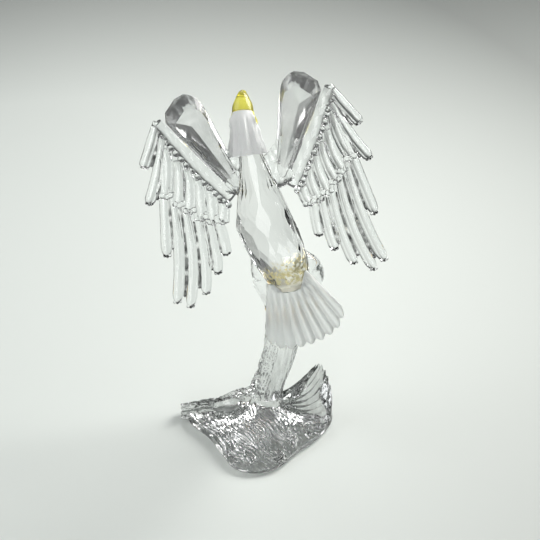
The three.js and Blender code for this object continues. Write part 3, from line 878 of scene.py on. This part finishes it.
def arm_form(name):
    """A long cut stone, its corners cut off: a flat table, a narrow crown and a keel of steep flats."""
    piece = block(name, (120, ARM_TABLE - ARM_KEEL, 120), (0, (ARM_TABLE + ARM_KEEL) / 2, 0))
    corners = [Vector(corner) for corner in ARM_OUTLINE]
    outline, crowns, keels = [], [], []
    for i, corner in enumerate(corners):
        for beside in (corners[i - 1], corners[(i + 1) % len(corners)]):
            outline.append(corner.lerp(beside, min(0.34, ARM_CORNER / (beside - corner).length)))
        crowns += [(ARM_CROWNS[i - 1] + ARM_CROWNS[i]) / 2, ARM_CROWNS[i]]
        keels += [(ARM_KEELS[i - 1] + ARM_KEELS[i]) / 2, ARM_KEELS[i]]
    planes = []
    for i, (u, v, outward) in enumerate(sides_of(outline)):
        planes.append(((u, 0, v), outward))
        crown = Vector((0, crowns[i], 0)) + outward * (ARM_TABLE - ARM_RIM)
        planes.append(((u, ARM_RIM, v), crown.normalized()))
        steep, flat = math.radians(keels[i]), math.radians(keels[i] - ARM_STEP_TURN)
        rim = Vector((u, -ARM_RIM * 0.5, v))
        planes.append((rim, outward * math.sin(steep) - Vector((0, math.cos(steep), 0))))
        step = rim - outward * ARM_STEP - Vector((0, ARM_STEP * math.tan(steep), 0))
        planes.append((step, outward * math.sin(flat) - Vector((0, math.cos(flat), 0))))
    return cut(piece, planes)


def band_form(name, path, widths, thickness):
    """A smooth flat bar along a path in the sheet."""
    path = [Vector((u, 0, v)) for u, v in path]

    def place(along, turn, reach):
        tangent = heading(path, along)
        across, depth = rounded(turn)
        half = 0.5 * girth_at(widths, along) * (0.96 + 0.04 * math.cos(52 * along)) * across * reach
        centre = smooth_path(path, along) + Vector((tangent.z, 0, -tangent.x)) * half
        centre.y = 0.5 * thickness * (0.93 + 0.07 * math.cos(34 * along + 3 * across)) * depth * reach
        return centre
    return tube(name, 28, 30, place)


def scale_forms(count):
    """Small pointed scales in a row, modelled once and copied."""
    path = [Vector((u, 0, v)) for u, v in SCALE_PATH]

    def place(along, turn, reach):
        swell = math.sin(math.pi * (0.04 + 0.92 * along)) ** 0.8 * reach
        rise = 0.5 * SCALE_THICKNESS * swell * math.sin(turn)
        return (1.45 * swell * math.cos(turn), rise, 1.6 - 3.4 * along)
    model = tube("scale", 14, 10, place)
    scales = []
    for i in range(count):
        at = smooth_path(path, (i + 0.5) / count) + Vector(SCALE_PLACE)
        scales.append(moved(copied(model, "scale"), Matrix.Translation(at * MM) @ turned("Y", SCALE_LEAN)))
    bpy.data.objects.remove(model)
    return scales


def wing_sheet(sizes):
    sheet = arm_form("wing sheet")
    root = band_form("wing root", ROOT_PATH, ROOT_WIDTHS, ROOT_THICKNESS)
    fillet = band_form("fillet", FILLET_PATH, FILLET_WIDTHS, FILLET_THICKNESS)
    band = band_form("band", BAND_PATH, BAND_WIDTHS, BAND_THICKNESS)
    web = plate("web", WEB_OUTLINE, WEB_THICKNESS)
    parts = [root, fillet, web, band, *scale_forms(sizes.scale_count)]
    for i, quill in enumerate(COVERTS):
        lift = COVERT_LIFT if i % 2 else -COVERT_LIFT
        parts.append(feather("covert", quill, sizes.covert_width / MM, sizes.covert_thickness / MM, lift))
        parts += knobs(quill, sizes.covert_width / MM, *COVERT_KNOB)
    for i, quill in enumerate(QUILLS):
        lift = QUILL_LIFT if i % 2 else -QUILL_LIFT
        parts.append(feather("quill", quill, sizes.quill_width / MM, sizes.quill_thickness / MM, lift))
        parts += knobs(quill, QUILL_KNOB_SPREAD * sizes.quill_width / MM, *QUILL_KNOB)
    for first, second in zip(QUILLS, QUILLS[1:]):
        parts.append(valley("valley", first, second, VALLEY_WIDTH, VALLEY_THICKNESS))
    for part in (sheet, *parts):
        for name in ("clear crystal", "smoky crystal", "deep crystal"):
            part.data.materials.append(bpy.data.materials[name])
        kind = part.name.split(".")[0]
        for face in part.data.polygons:
            face.material_index = 1 if kind == "wing sheet" else 2 if kind == "valley" else 0
    return join(sheet, parts)


def placed_wing(sheet, name, side):
    piece = copied(sheet, name)
    for point in piece.data.vertices:
        point.co.x *= WING_FIT
        point.co.y += WING_BOW / MM * point.co.x ** 2
    turn = turned("Z", WING_SWEEP) @ turned("X", WING_TILT)
    hinge = Matrix.Translation(Vector((*HINGE, 0)) * MM)
    return moved(piece, POSE @ Matrix.Scale(side, 4, (1, 0, 0)) @ hinge @ turn)


# Tail
def tail_form(name):
    hub = TAIL_ROOT_HALF_WIDTH / math.sin(math.radians(TAIL_HALF_ANGLE))
    spread_turn = turned("Y", TAIL_TURN) @ turned("X", TAIL_BACK)

    def place(out, turn, reach):
        share = turn / math.pi
        face = 1 if share < 1 else -1
        spread = 2 * share - 1 if share < 1 else 3 - 2 * share
        rib = 0.5 + 0.5 * math.cos(math.pi * TAIL_RIBS * (spread + 1 - 1 / TAIL_RIBS))
        arc = TAIL_LENGTH - TAIL_SCALLOP * (1 - math.sqrt(rib)) - TAIL_CORNER * spread ** 4
        distance = hub + arc * out
        angle = math.radians(TAIL_HALF_ANGLE) * spread
        groove = TAIL_GROOVE * (1 - rib) ** 1.5 * min(1, out * 3)
        thick = mix(TAIL_THICKNESS, 0.55 * TAIL_THICKNESS, out) - groove
        thick *= math.sqrt(max(0, 1 - spread ** 16)) * math.sqrt(max(0, 1 - ease(0.93, 1.04, out)))
        return (distance * math.sin(angle), 0.5 * thick * face * reach, hub - distance * math.cos(angle))
    fan = tube(name, 360, 40, place)
    return moved(fan, POSE @ Matrix.Translation(Vector(TAIL_ROOT) * MM) @ spread_turn)


# Legs and feet
def foot_place(side):
    top = STUMP_PATH[-1]
    return Vector((top[0] + 0.5 * side * FOOT_SPREAD, top[1], STUMP_TOP + GLUE_GAP))


def leg_form(name, which, side):
    ankle = foot_place(side) + Vector((0, 0, ANKLE_HEIGHT + GLUE_GAP))
    hip = (POSE @ (Vector(HIPS[which]) * MM)) / MM
    knee = (POSE @ (Vector(KNEES[which]) * MM)) / MM
    shin = knee.lerp(ankle, 0.6) + Vector((side * SHIN_BULGE, 0, 0))
    below = ankle + Vector((0, 0, -3))

    def relief(along, turn):
        return 0.16 * locks(1 - along, turn, 6, 5) - 0.1
    leg = limb(name, [hip, knee, shin, below], LEG_GIRTHS, 64, 70, relief)
    return cut(leg, [(ankle, (0, 0, -1))])


def foot_form(name, side):
    whole = added(
        name, bpy.ops.mesh.primitive_cone_add, vertices=32, radius1=ANKLE_RADIUS * MM,
        radius2=0.9 * ANKLE_RADIUS * MM, depth=ANKLE_HEIGHT * MM, location=(0, 0, ANKLE_HEIGHT / 2 * MM))
    toes = []
    for turn in TOE_TURNS:
        length = TOE_LENGTH * (0.75 if turn == 180 else 1)
        path = [(0, 0, TOE_ARCH), (0, -length * 0.5, TOE_ARCH * 0.8), (0, -length * 0.85, TOE_RADIUS * 0.9),
                (0, -length, 0.35)]
        girths = [share * TOE_RADIUS for share in (1.3, 1.15, 1, 0.5, 0.25)]

        def relief(along, turn):
            return 0.09 * math.cos(2 * math.pi * 5 * along) * (1 - ease(0.65, 0.75, along))
        toe = limb("toe", path, girths, 20, 36, relief)
        toes.append(moved(toe, turned("Z", turn)))
    join(whole, toes)
    cut(whole, [((0, 0, 0), (0, 0, -1))])
    return moved(whole, Matrix.Translation(foot_place(side) * MM))


# Driftwood
def grain(x, y, turn, out):
    """Height, from -1 to 1, of the driftwood's ridges: parallel across the front, rising up the flare."""
    wander = noise.noise((x * 0.11, y * 0.11, 3.0)) * 3.2
    along = 0.8 * x + 0.6 * y + wander
    shift = 2.4 * noise.noise((x * 0.24, y * 0.24, 9))
    front = 0.5 * math.cos(along * 3.3) + 0.5 * math.cos(along * 6.8 + shift)
    front *= 0.95 + 0.6 * noise.noise((x * 0.2, y * 0.2, 5.0))
    sweep = turn - 0.42 * out ** 2
    fan = 1.9 * math.cos(46 * sweep) + 0.7 * math.cos(97 * sweep + 2 * wander)
    flare = ease(2.3, 2.9, turn) * (1 - ease(4.4, 5.4, turn))
    return mix(front, fan, flare)


def mound_form(name, relief):
    rings, lip = 96, 12
    rim = [Vector(point) for point in RIM]
    hub = Vector((STUMP_PATH[0][0], STUMP_PATH[0][1], 0))

    def place(row, turn, reach):
        edge = smooth_path(rim, turn / (2 * math.pi), closed=True)
        flat = Vector((edge.x, edge.y, 0))
        ring = round(row * (rings + lip))
        if ring > rings:
            share = (ring - rings) / lip
            path = [
                Vector((1, edge.z)), Vector((1.002, mix(edge.z, SKIRT_HEIGHT, 0.4))),
                Vector((SKIRT_SPREAD, SKIRT_HEIGHT)), Vector((UNDERCUT, 0)),
            ]
            spread, height = smooth_path(path, share)
            point = flat * spread * (reach if ring == rings + lip else 1)
            return (point.x, point.y, max(height, 0))
        out = ring / rings * reach
        sag = HOLLOW_DEPTH * math.sin(math.pi * out) * min(1, edge.z / MOUND_HEIGHT + 0.2)
        point = hub.lerp(flat, out)
        fade = 0.45 * ease(0.93, 1, out) * (1 - ease(6, 12, edge.z))
        ridge = relief * grain(point.x, point.y, turn, out) * min(1, out * 5) * (1 - fade)
        scoop = math.hypot((point.x - 12 + 0.5 * (point.y + 14)) / 8.5, (point.y + 14) / 4.6)
        smooth = 1 - ease(0.7, 1.15, scoop)
        crest = hump(0.52 * (point.x - 11) - 0.85 * (point.y + 6.5), 1.3) * hump(point.x - 11, 9)
        ridge = ridge * (1 - 0.9 * smooth) - 2.9 * smooth + 2.1 * crest
        point.z = mix(MOUND_HEIGHT, edge.z, out ** 1.4) - sag + ridge
        return point
    return tube(name, 336, rings + lip, place)


def driftwood(name, relief):
    def bark(along, turn):
        girth = girth_at(STUMP_GIRTHS, along)
        rough = ease(-0.1, 0.5, math.cos(turn))
        ripple = math.cos(5 * turn + 4 * along)
        knots = noise.noise((6 * along, 2.5 * math.cos(turn), 2.5 * math.sin(turn)))
        knots += 0.5 * noise.noise((26 * along, 5 * math.cos(turn), 5 * math.sin(turn)))
        flare = 0.35 * max(0, math.cos(turn)) * (1 - along) ** 4 * girth
        strings = 0.22 * math.cos(31 * turn + 5 * along + 3 * knots)
        crease = 1.3 * hump(turn - 2.62, 0.2) + 0.6 * hump(turn - 1.9, 0.12)
        return flare - crease + 0.08 * girth * ripple * mix(0.3, 1, rough) + rough * (0.9 * knots + strings)
    stump = limb("stump", STUMP_PATH, STUMP_GIRTHS, 112, 130, bark)
    root, tip = Vector(BRANCH_ROOT), Vector(BRANCH_END)
    up = Vector((0, 0, 1))
    side = up.cross(tip - root).normalized()

    def branch_place(along, turn, reach):
        gnarl = 1 + 0.07 * math.cos(3 * turn + 2 * along) + 0.15 * math.cos(9 * turn + 3 * along)
        gnarl += 0.12 * noise.noise((9 * along, 2 * math.cos(turn), 2 * math.sin(turn)))
        radius = BRANCH_RADIUS * mix(1.2, 0.95, along) * gnarl * reach
        ragged = 0.5 * math.cos(9 * turn) * ease(0.9, 1, along) * reach
        centre = root.lerp(tip, along - ragged * 0.03)
        return centre + (side * math.cos(turn) + up * math.sin(turn)) * radius
    branch = tube("branch", 60, 24, branch_place)
    whole = join(mound_form(name, relief), [stump, branch])
    return cut(whole, [((0, 0, 0), (0, 0, -1)), ((0, 0, STUMP_TOP), (0, 0, 1))])


class MakeDriftwood(bpy.types.Operator):
    """Model the clear driftwood with its stump, flare and broken branch"""
    bl_idname = "eagle.make_driftwood"
    bl_label = "Driftwood"

    def execute(self, context):
        scene = context.scene
        piece = driftwood("driftwood", scene.eagle_sizes.wood_relief / MM)
        finished(piece, "cast crystal", "clear_crystal", "base")
        return {"FINISHED"}


class MakeBody(bpy.types.Operator):
    """Cut the faceted body"""
    bl_idname = "eagle.make_body"
    bl_label = "Body"

    def execute(self, context):
        piece = round_edges(body_form("cut_body", 0), BODY_BEVEL)
        finished(piece, "gilded crystal", "clear_crystal", "body", smooth=4)
        return {"FINISHED"}


class MakeWings(bpy.types.Operator):
    """Model one wing and set a copy of it at each shoulder"""
    bl_idname = "eagle.make_wings"
    bl_label = "Wings"

    def execute(self, context):
        sheet = wing_sheet(context.scene.eagle_sizes)
        around = [body_form("around body", GLUE_GAP), head_form("around head", GLUE_GAP)]
        for which, side in (("left", 1), ("right", -1)):
            piece = placed_wing(sheet, which + "_wing", side)
            join(piece, around, "DIFFERENCE", keep=True)
            finished(piece, None, "clear_crystal", "wing_" + which)
        for spent in (sheet, *around):
            bpy.data.objects.remove(spent)
        return {"FINISHED"}


class MakeHead(bpy.types.Operator):
    """Model the frosted head with its ruff, and the hooked beak"""
    bl_idname = "eagle.make_head"
    bl_label = "Head and beak"

    def execute(self, context):
        head = head_form("frosted_head", 0, 160, 90, fine=True)
        join(head, [body_form("around body", GLUE_GAP)], "DIFFERENCE")
        finished(head, "frosted head", "frosted_crystal", "head", smooth=50)
        beak = beak_form("hooked_beak")
        finished(beak, "yellow crystal", "yellow_crystal", "beak", smooth=50)
        return {"FINISHED"}


class MakeTail(bpy.types.Operator):
    """Model the ribbed, frosted tail fan"""
    bl_idname = "eagle.make_tail"
    bl_label = "Tail"

    def execute(self, context):
        tail = join(tail_form("frosted_tail"), [body_form("around body", GLUE_GAP)], "DIFFERENCE")
        finished(tail, "frosted crystal", "frosted_crystal", "tail")
        return {"FINISHED"}


class MakeLegs(bpy.types.Operator):
    """Model the feathered legs and the gilt feet"""
    bl_idname = "eagle.make_legs"
    bl_label = "Legs and feet"

    def execute(self, context):
        around = body_form("around body", GLUE_GAP)
        for which, side in (("left", 1), ("right", -1)):
            leg = join(leg_form(which + "_leg", which, side), [around], "DIFFERENCE", keep=True)
            finished(leg, "clear crystal", "clear_crystal", "leg_" + which, smooth=50)
            foot = foot_form("gilt_foot_" + which, side)
            finished(foot, "gilt metal", "gilt_metal", "foot_" + which, smooth=50)
        bpy.data.objects.remove(around)
        return {"FINISHED"}


class SetStage(bpy.types.Operator):
    """Lay the pale floor and backdrop, hang the soft lights and place the camera"""
    bl_idname = "eagle.set_stage"
    bl_label = "Floor, lights and camera"

    def execute(self, context):
        scene = context.scene
        looks = scene.eagle_looks

        def build(place):
            cloud = place.speckle(3.0)
            # Painted shade: the floor darkens away from a centre, standing in for the lights' fall-off
            middle = place.vectors("MULTIPLY", PAINTED_FALLOFF_STRETCH).vectors("DISTANCE", PAINTED_FALLOFF_CENTRE, output=1)
            painted_falloff = (middle + 0.02 * cloud).sharpen(*PAINTED_FALLOFF_RADII)
            shade = shaded(looks.floor_colour, PAINTED_FALLOFF_SHADE)
            return {"Base Color": painted_falloff.tint(looks.floor_colour, shade), "Roughness": 0.6 + 0.1 * cloud}
        place = (0, 0, FLOOR_HEIGHT)
        floor = added("floor", bpy.ops.mesh.primitive_plane_add, size=FLOOR_SIZE, location=place)
        floor.data.materials.append(finish("pale floor", build))
        for name, place, size, power, colour in LIGHTS:
            bpy.ops.object.light_add(type="AREA", location=place)
            light = context.object
            light.name = name
            light.data.shape = "SQUARE"
            light.data.size = size
            light.data.energy = power
            light.data.color = colour
            aim = Vector(LIGHT_AIM) - light.location
            light.rotation_euler = aim.to_track_quat("-Z", "Y").to_euler()
        world = scene.world or bpy.data.worlds.new("studio")
        scene.world = world
        world.use_nodes = True
        tree = world.node_tree
        way = Wire(tree).node("ShaderNodeTexCoord", output=0)
        height = way.node("ShaderNodeSeparateXYZ", {}, {0: way}, output=2)
        sky = way.node("ShaderNodeValToRGB", {"stops": SKY_STOPS}, {0: height})
        background = tree.nodes["Background"]
        tree.links.new(sky.socket, background.inputs["Color"])
        background.inputs["Strength"].default_value = SKY_STRENGTH
        bpy.ops.object.camera_add(
            location=CAMERA_PLACE,
            rotation=(math.radians(CAMERA_TILT), 0, math.radians(180)),
        )
        camera = context.object
        camera.name = "camera"
        camera.data.lens = CAMERA_LENS
        camera.data.sensor_width = CAMERA_SENSOR
        camera.data.clip_start = 0.01
        scene.camera = camera
        scene.view_settings.view_transform = "Standard"
        return {"FINISHED"}


class EaglePanel(bpy.types.Panel):
    """Lists the pieces of the eagle in the sidebar"""
    bl_idname = "VIEW3D_PT_crystal_eagle"
    bl_label = "Crystal Eagle"
    bl_space_type = "VIEW_3D"
    bl_region_type = "UI"
    bl_category = "Crystal Eagle"

    def draw(self, context):
        for maker in MAKERS:
            self.layout.operator(maker.bl_idname)
        for group in (context.scene.eagle_sizes, context.scene.eagle_looks):
            for key in group.__annotations__:
                self.layout.prop(group, key)


MAKERS = [MakeDriftwood, MakeBody, MakeWings, MakeHead, MakeTail, MakeLegs, SetStage]
CLASSES = [EagleSizes, EagleLooks, *MAKERS, EaglePanel]


def register():
    for part in CLASSES:
        bpy.utils.register_class(part)
    bpy.types.Scene.eagle_sizes = PointerProperty(type=EagleSizes)
    bpy.types.Scene.eagle_looks = PointerProperty(type=EagleLooks)


def unregister():
    del bpy.types.Scene.eagle_looks
    del bpy.types.Scene.eagle_sizes
    for part in reversed(CLASSES):
        bpy.utils.unregister_class(part)


def main():
    register()
    looks = bpy.context.scene.eagle_looks
    for make in FINISHES:
        make(looks)
    bpy.ops.eagle.make_driftwood()
    bpy.ops.eagle.make_body()
    bpy.ops.eagle.make_wings()
    bpy.ops.eagle.make_head()
    bpy.ops.eagle.make_tail()
    bpy.ops.eagle.make_legs()
    bpy.ops.eagle.set_stage()


if __name__ == "__main__":
    main()
